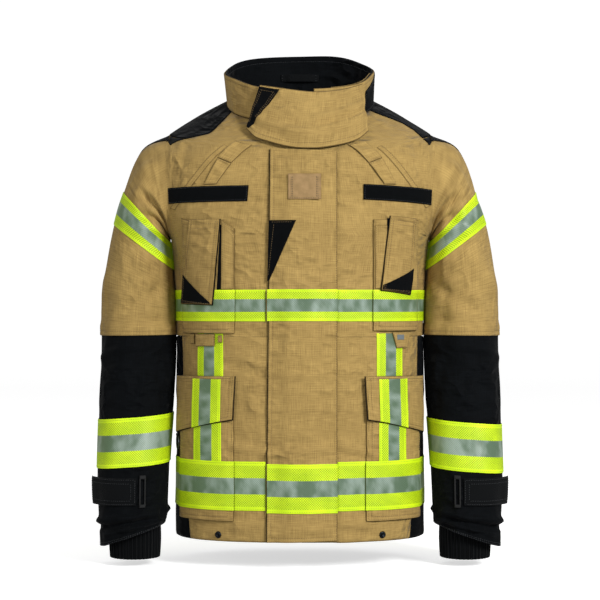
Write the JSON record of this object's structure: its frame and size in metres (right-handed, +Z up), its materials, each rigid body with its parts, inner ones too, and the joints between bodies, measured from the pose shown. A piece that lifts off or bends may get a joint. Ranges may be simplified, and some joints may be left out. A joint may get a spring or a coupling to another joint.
{
  "type": "turnout coat",
  "caption": "Firefighter's turnout coat, closed, with stand collar, storm flap over a zip, patch pockets, reflective bands and hanging sleeves.",
  "frame": {"origin": "middle of the hanger loop at the inside back of the neck", "axes": "+Z up, the coat's front faces -Y, +X is the wearer's left"},
  "size_m": [0.6488, 0.3074, 0.8171],
  "materials": {
    "tan_cloth": "woven ripstop, matt",
    "black_cloth": "woven ripstop, matt",
    "reflective_tape": "fluorescent border with a silver centre",
    "grip_fastener": "hook and loop",
    "steel": "satin",
    "zip_teeth": "satin",
    "black_plastic": "moulded",
    "patch_leather": "flat, stitched round its edge",
    "membrane": "smooth laminate",
    "liner_cloth": "quilted",
    "black_knit": "ribbed knit",
    "black_webbing": "woven webbing"
  },
  "bodies": {
    "coat": {"back_panel": "tan_cloth", "right_front_panel": "tan_cloth", "left_front_panel": "tan_cloth", "right_side_panel": "black_cloth", "left_side_panel": "black_cloth", "right_shoulder_yoke": "black_cloth", "left_shoulder_yoke": "black_cloth", "moisture_barrier": "membrane", "thermal_liner": "liner_cloth", "collar_shell": "tan_cloth", "collar_lining": "black_cloth", "hanger_loop": "black_webbing", "zipper_tapes": "black_webbing", "zipper_teeth": "zip_teeth", "hook_strips": "grip_fastener", "right_name_strip": "grip_fastener", "left_name_strip": "grip_fastener", "shoulder_straps": "tan_cloth", "right_chest_pocket": "tan_cloth", "left_chest_pocket": "tan_cloth", "pocket_straps": "tan_cloth", "pocket_tabs": "tan_cloth", "right_cargo_pocket": "tan_cloth", "left_cargo_pocket": "tan_cloth", "chest_tape": "reflective_tape", "hem_tape": "reflective_tape", "vertical_tapes": "reflective_tape", "hem_snaps": "steel", "ring_tab": "black_webbing"},
    "storm_flap": {"storm_flap": "tan_cloth", "storm_flap_grip": "grip_fastener", "storm_flap_tapes": "reflective_tape", "label_patch": "patch_leather"},
    "throat_flap": {"throat_flap": "tan_cloth", "throat_flap_grip": "grip_fastener"},
    "zipper_slider": {"zipper_slider": "steel", "zipper_pull": "steel"},
    "tool_ring": {"tool_ring": "steel"},
    "right_chest_flap": {"right_chest_flap": "tan_cloth", "right_chest_flap_grip": "grip_fastener"},
    "right_cargo_flap": {"right_cargo_flap": "tan_cloth", "right_cargo_flap_tape": "reflective_tape"},
    "right_upper_sleeve": {"right_upper_sleeve": "tan_cloth", "right_upper_sleeve_tape": "reflective_tape"},
    "right_lower_sleeve": {"right_lower_sleeve": "black_cloth", "right_lower_sleeve_tape": "reflective_tape", "right_wristlet": "black_knit", "right_cuff_buckle": "black_plastic"},
    "right_cuff_strap": {"right_cuff_strap": "black_webbing"},
    "left_chest_flap": {"left_chest_flap": "tan_cloth", "left_chest_flap_grip": "grip_fastener"},
    "left_cargo_flap": {"left_cargo_flap": "tan_cloth", "left_cargo_flap_tape": "reflective_tape"},
    "left_upper_sleeve": {"left_upper_sleeve": "tan_cloth", "left_upper_sleeve_tape": "reflective_tape"},
    "left_lower_sleeve": {"left_lower_sleeve": "black_cloth", "left_lower_sleeve_tape": "reflective_tape", "left_wristlet": "black_knit", "left_cuff_buckle": "black_plastic"},
    "left_cuff_strap": {"left_cuff_strap": "black_webbing"}
  },
  "joints": [
    {"name": "storm_flap_hinge", "type": "hinge", "parent": "coat", "child": "storm_flap", "pos_m": [0.0586, -0.2476, -0.445], "axis": [0, 0, 1], "range_deg": [0, 120]},
    {"name": "throat_flap_hinge", "type": "hinge", "parent": "coat", "child": "throat_flap", "pos_m": [0.1148, -0.1866, -0.09345], "axis": [-0.2403, 0.3362, 0.9106], "range_deg": [0, 100]},
    {"name": "zipper_slide", "type": "slide", "parent": "coat", "child": "zipper_slider", "axis": [0, 0, -1], "range_m": [0, 0.52]},
    {"name": "tool_ring_swing", "type": "hinge", "parent": "coat", "child": "tool_ring", "pos_m": [-0.19522, -0.1349, -0.58531], "axis": [-0.2258, 0.9742, 0], "range_deg": [0, 12]},
    {"name": "right_chest_flap_hinge", "type": "hinge", "parent": "coat", "child": "right_chest_flap", "pos_m": [-0.14875, -0.2299, -0.244], "axis": [-0.9299, 0.3677, 0], "range_deg": [0, 110]},
    {"name": "left_chest_flap_hinge", "type": "hinge", "parent": "coat", "child": "left_chest_flap", "pos_m": [0.16095, -0.2252, -0.241], "axis": [-0.8957, -0.4406, 0.0601], "range_deg": [0, 110]},
    {"name": "right_cargo_flap_hinge", "type": "hinge", "parent": "coat", "child": "right_cargo_flap", "pos_m": [-0.115, -0.231, -0.4875], "axis": [-0.9207, 0.3903, 0], "range_deg": [0, 75]},
    {"name": "left_cargo_flap_hinge", "type": "hinge", "parent": "coat", "child": "left_cargo_flap", "pos_m": [0.115, -0.231, -0.4875], "axis": [-0.9207, -0.3903, 0], "range_deg": [0, 75]},
    {"name": "right_shoulder", "type": "hinge", "parent": "coat", "child": "right_upper_sleeve", "pos_m": [-0.2084, -0.09, -0.1035], "axis": [0, 1, 0], "range_deg": [0, 60]},
    {"name": "right_elbow", "type": "hinge", "parent": "right_upper_sleeve", "child": "right_lower_sleeve", "pos_m": [-0.262, -0.1682, -0.42], "axis": [-1, 0, 0], "range_deg": [0, 75]},
    {"name": "right_cuff_strap_hinge", "type": "hinge", "parent": "right_lower_sleeve", "child": "right_cuff_strap", "pos_m": [-0.2541, -0.2084, -0.68], "axis": [0, 0.1176, 0.9931], "range_deg": [0, 80]},
    {"name": "left_shoulder", "type": "hinge", "parent": "coat", "child": "left_upper_sleeve", "pos_m": [0.2084, -0.09, -0.1035], "axis": [0, -1, 0], "range_deg": [0, 60]},
    {"name": "left_elbow", "type": "hinge", "parent": "left_upper_sleeve", "child": "left_lower_sleeve", "pos_m": [0.262, -0.1682, -0.42], "axis": [-1, 0, 0], "range_deg": [0, 75]},
    {"name": "left_cuff_strap_hinge", "type": "hinge", "parent": "left_lower_sleeve", "child": "left_cuff_strap", "pos_m": [0.2541, -0.2084, -0.68], "axis": [0, -0.1176, -0.9931], "range_deg": [0, 80]}
  ]
}
